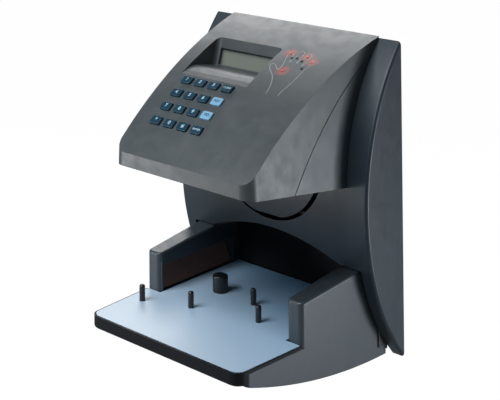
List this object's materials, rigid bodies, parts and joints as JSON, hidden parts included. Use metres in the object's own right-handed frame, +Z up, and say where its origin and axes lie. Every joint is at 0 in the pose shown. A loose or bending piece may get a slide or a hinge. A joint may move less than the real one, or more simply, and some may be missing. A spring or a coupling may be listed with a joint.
{
  "type": "punch time clock",
  "caption": "Wall-mounted hand-reading punch clock: overhanging keypad head, platen tray with guide pins, bowed base that swings down off its wall plate.",
  "frame": {"origin": "on the wall plane, centre line, at the bottom of the base: the middle of the lower edge of the wall plate's centre tongue, on its rear face", "axes": "+X to the user's right, -Y out of the wall towards the user, +Z up"},
  "size_m": [0.2262, 0.217, 0.2962],
  "materials": {
    "cover_plastic": "fine-textured warm grey moulding",
    "body_plastic": "fine-textured dark blue-grey moulding",
    "black_plastic": "satin black moulding",
    "key_dark": "dark blue rubber-touch key",
    "key_light": "light blue rubber-touch key",
    "key_mat": "silicone mat",
    "platen_reflective": "pale blue retro-reflective sheet",
    "mirror_glass": "bronze tinted mirror",
    "plate_steel": "dark powder coat",
    "zinc_steel": "zinc plated",
    "lock_chrome": "satin chrome",
    "board_green": "solder-masked circuit board",
    "chip_black": "moulded component package",
    "terminal_green": "terminal block plastic",
    "lens_glass": "clear glass",
    "window_dark": "dark red filter window",
    "lcd_panel": "grey-green display",
    "led_red": "red diffuse indicator",
    "cable_grey": "flat cable"
  },
  "bodies": {
    "wall_plate": {"wall_plate": "plate_steel", "hinge_pins": "zinc_steel"},
    "reader": {"hinge_leaf": "zinc_steel", "case_screws": "zinc_steel", "base_shell": "body_plastic", "chassis_plate": "zinc_steel", "throat_liner": "black_plastic", "neck_panel": "body_plastic", "head_body": "body_plastic", "top_cover": "cover_plastic", "lcd_bezel": "black_plastic", "lcd_window": "lens_glass", "lcd_module": "lcd_panel", "keypad_board": "board_green", "keypad_mat": "key_mat", "placement_leds": "led_red", "camera_window": "window_dark", "camera_bracket": "zinc_steel", "camera_board": "board_green", "camera_lens": "black_plastic", "ir_led_board": "board_green", "ir_leds": "window_dark", "tray_shell": "body_plastic", "platen_deck": "black_plastic", "platen_sheet": "platen_reflective", "finger_pins": "black_plastic", "web_post": "black_plastic", "pin_nuts": "zinc_steel", "mirror_holder": "black_plastic", "side_mirror": "mirror_glass", "main_board": "board_green", "board_chips": "chip_black", "terminal_block": "terminal_green", "network_jack": "black_plastic", "dip_switch": "led_red", "coin_cell": "zinc_steel", "beeper": "chip_black", "display_cable": "cable_grey", "lock_body": "lock_chrome", "lock_nut": "zinc_steel", "tamper_switch": "chip_black"},
    "key_1": {"key_1": "key_dark"},
    "key_2": {"key_2": "key_dark"},
    "key_3": {"key_3": "key_dark"},
    "key_clear": {"key_clear": "key_dark"},
    "key_4": {"key_4": "key_dark"},
    "key_5": {"key_5": "key_dark"},
    "key_6": {"key_6": "key_dark"},
    "key_no": {"key_no": "key_light"},
    "key_7": {"key_7": "key_dark"},
    "key_8": {"key_8": "key_dark"},
    "key_9": {"key_9": "key_dark"},
    "key_yes": {"key_yes": "key_light"},
    "key_star": {"key_star": "key_dark"},
    "key_0": {"key_0": "key_dark"},
    "key_hash": {"key_hash": "key_dark"},
    "key_enter": {"key_enter": "key_dark"},
    "lock": {"lock_cylinder": "lock_chrome", "lock_cam": "zinc_steel"},
    "tamper_plunger": {"tamper_plunger": "black_plastic"}
  },
  "joints": [
    {"name": "reader_swing", "type": "hinge", "parent": "wall_plate", "child": "reader", "pos_m": [0, -0.006, 0.004], "axis": [1, 0, 0], "range_deg": [0, 90], "stiffness_Nm_per_rad": 0.7, "springref_deg": -103.13},
    {"name": "key_1_press", "type": "slide", "parent": "reader", "child": "key_1", "axis": [0, 0.5077, -0.8615], "range_m": [0, 0.0013], "stiffness_N_per_m": 60, "springref_m": -0.0008},
    {"name": "key_2_press", "type": "slide", "parent": "reader", "child": "key_2", "axis": [0, 0.5077, -0.8615], "range_m": [0, 0.0013], "stiffness_N_per_m": 60, "springref_m": -0.0008},
    {"name": "key_3_press", "type": "slide", "parent": "reader", "child": "key_3", "axis": [0, 0.5077, -0.8615], "range_m": [0, 0.0013], "stiffness_N_per_m": 60, "springref_m": -0.0008},
    {"name": "key_clear_press", "type": "slide", "parent": "reader", "child": "key_clear", "axis": [0, 0.5077, -0.8615], "range_m": [0, 0.0013], "stiffness_N_per_m": 60, "springref_m": -0.0008},
    {"name": "key_4_press", "type": "slide", "parent": "reader", "child": "key_4", "axis": [0, 0.5427, -0.8399], "range_m": [0, 0.0013], "stiffness_N_per_m": 60, "springref_m": -0.0008},
    {"name": "key_5_press", "type": "slide", "parent": "reader", "child": "key_5", "axis": [0, 0.5427, -0.8399], "range_m": [0, 0.0013], "stiffness_N_per_m": 60, "springref_m": -0.0008},
    {"name": "key_6_press", "type": "slide", "parent": "reader", "child": "key_6", "axis": [0, 0.5427, -0.8399], "range_m": [0, 0.0013], "stiffness_N_per_m": 60, "springref_m": -0.0008},
    {"name": "key_no_press", "type": "slide", "parent": "reader", "child": "key_no", "axis": [0, 0.5427, -0.8399], "range_m": [0, 0.0013], "stiffness_N_per_m": 60, "springref_m": -0.0008},
    {"name": "key_7_press", "type": "slide", "parent": "reader", "child": "key_7", "axis": [0, 0.5768, -0.8169], "range_m": [0, 0.0013], "stiffness_N_per_m": 60, "springref_m": -0.0008},
    {"name": "key_8_press", "type": "slide", "parent": "reader", "child": "key_8", "axis": [0, 0.5768, -0.8169], "range_m": [0, 0.0013], "stiffness_N_per_m": 60, "springref_m": -0.0008},
    {"name": "key_9_press", "type": "slide", "parent": "reader", "child": "key_9", "axis": [0, 0.5768, -0.8169], "range_m": [0, 0.0013], "stiffness_N_per_m": 60, "springref_m": -0.0008},
    {"name": "key_yes_press", "type": "slide", "parent": "reader", "child": "key_yes", "axis": [0, 0.5768, -0.8169], "range_m": [0, 0.0013], "stiffness_N_per_m": 60, "springref_m": -0.0008},
    {"name": "key_star_press", "type": "slide", "parent": "reader", "child": "key_star", "axis": [0, 0.6096, -0.7927], "range_m": [0, 0.0013], "stiffness_N_per_m": 60, "springref_m": -0.0008},
    {"name": "key_0_press", "type": "slide", "parent": "reader", "child": "key_0", "axis": [0, 0.6096, -0.7927], "range_m": [0, 0.0013], "stiffness_N_per_m": 60, "springref_m": -0.0008},
    {"name": "key_hash_press", "type": "slide", "parent": "reader", "child": "key_hash", "axis": [0, 0.6096, -0.7927], "range_m": [0, 0.0013], "stiffness_N_per_m": 60, "springref_m": -0.0008},
    {"name": "key_enter_press", "type": "slide", "parent": "reader", "child": "key_enter", "axis": [0, 0.6096, -0.7927], "range_m": [0, 0.0013], "stiffness_N_per_m": 60, "springref_m": -0.0008},
    {"name": "lock_turn", "type": "hinge", "parent": "reader", "child": "lock", "pos_m": [-0.1125, -0.026, 0.19], "axis": [1, 0, 0], "range_deg": [0, 90]},
    {"name": "tamper_press", "type": "slide", "parent": "reader", "child": "tamper_plunger", "axis": [0, -1, 0], "range_m": [0, 0.002], "stiffness_N_per_m": 8, "springref_m": -0.0005}
  ]
}
